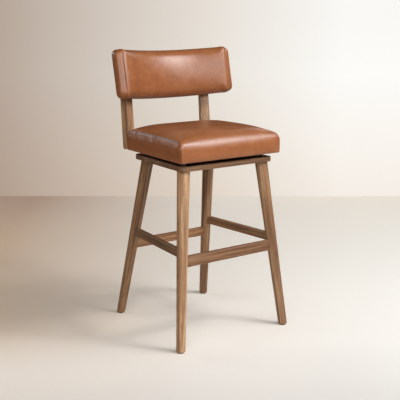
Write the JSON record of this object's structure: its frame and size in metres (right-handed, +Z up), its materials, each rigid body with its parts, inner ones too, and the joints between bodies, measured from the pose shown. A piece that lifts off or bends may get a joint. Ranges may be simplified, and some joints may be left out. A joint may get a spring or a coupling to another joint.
{
  "type": "bar stool",
  "caption": "Bar stool with a crowned leather seat that swivels, a curved leather back pad on two posts, splayed round wood legs and a flat front footrest rail.",
  "frame": {"origin": "on the floor, in the middle of the stool's width and depth", "axes": "+Z up, -Y towards the front of the stool (the sitter's feet), +X to the right as seen from the front"},
  "size_m": [0.5414, 0.5286, 1.0837],
  "materials": {
    "brown_wood": "weathered matt oil",
    "leather": "satin aniline",
    "foam": "open-cell foam",
    "plywood": "raw",
    "rail_wood": "raw",
    "lining": "matt non-woven",
    "glide_plastic": "matt",
    "black_steel": "satin black",
    "zinc_steel": "zinc plated",
    "black_bolts": "black oxide",
    "cage_plastic": "natural nylon"
  },
  "bodies": {
    "base": {"base_board": "brown_wood", "leg_front_right": "brown_wood", "leg_front_left": "brown_wood", "leg_rear_right": "brown_wood", "leg_rear_left": "brown_wood", "footrest_stretcher": "brown_wood", "rear_stretcher": "brown_wood", "side_stretcher_right": "brown_wood", "side_stretcher_left": "brown_wood", "leg_hanger_bolts": "zinc_steel", "leg_washers": "zinc_steel", "leg_nuts": "zinc_steel", "foot_glides": "glide_plastic", "glide_nails": "zinc_steel", "swivel_lower_plate": "black_steel", "swivel_lower_screws": "zinc_steel", "swivel_rivet": "zinc_steel"},
    "ball_ring": {"swivel_ball_cage": "cage_plastic", "swivel_balls": "zinc_steel"},
    "seat": {"swivel_upper_plate": "black_steel", "swivel_upper_screws": "zinc_steel", "seat_board": "plywood", "seat_rear_rail": "rail_wood", "seat_foam": "foam", "seat_cover": "leather", "seat_dust_cover": "lining", "seat_cover_staples": "zinc_steel", "back_post_right": "brown_wood", "back_post_left": "brown_wood", "post_bolts": "black_bolts", "post_washers": "black_bolts", "post_inserts": "zinc_steel", "back_panel": "plywood", "back_foam_front": "foam", "back_foam_rear": "foam", "back_cover": "leather", "back_bolts": "black_bolts", "back_tee_nuts": "zinc_steel"}
  },
  "joints": [
    {"name": "seat_swivel", "type": "hinge", "parent": "base", "child": "seat", "pos_m": [0, -0.03011, 0.6864], "axis": [0, 0, 1], "continuous": true},
    {"name": "ball_ring_roll", "type": "hinge", "parent": "base", "child": "ball_ring", "pos_m": [0, -0.03011, 0.6864], "axis": [0, 0, 1], "continuous": true}
  ],
  "couplings": [
    {"joint": "ball_ring_roll", "follows": "seat_swivel", "ratio": 0.5}
  ]
}
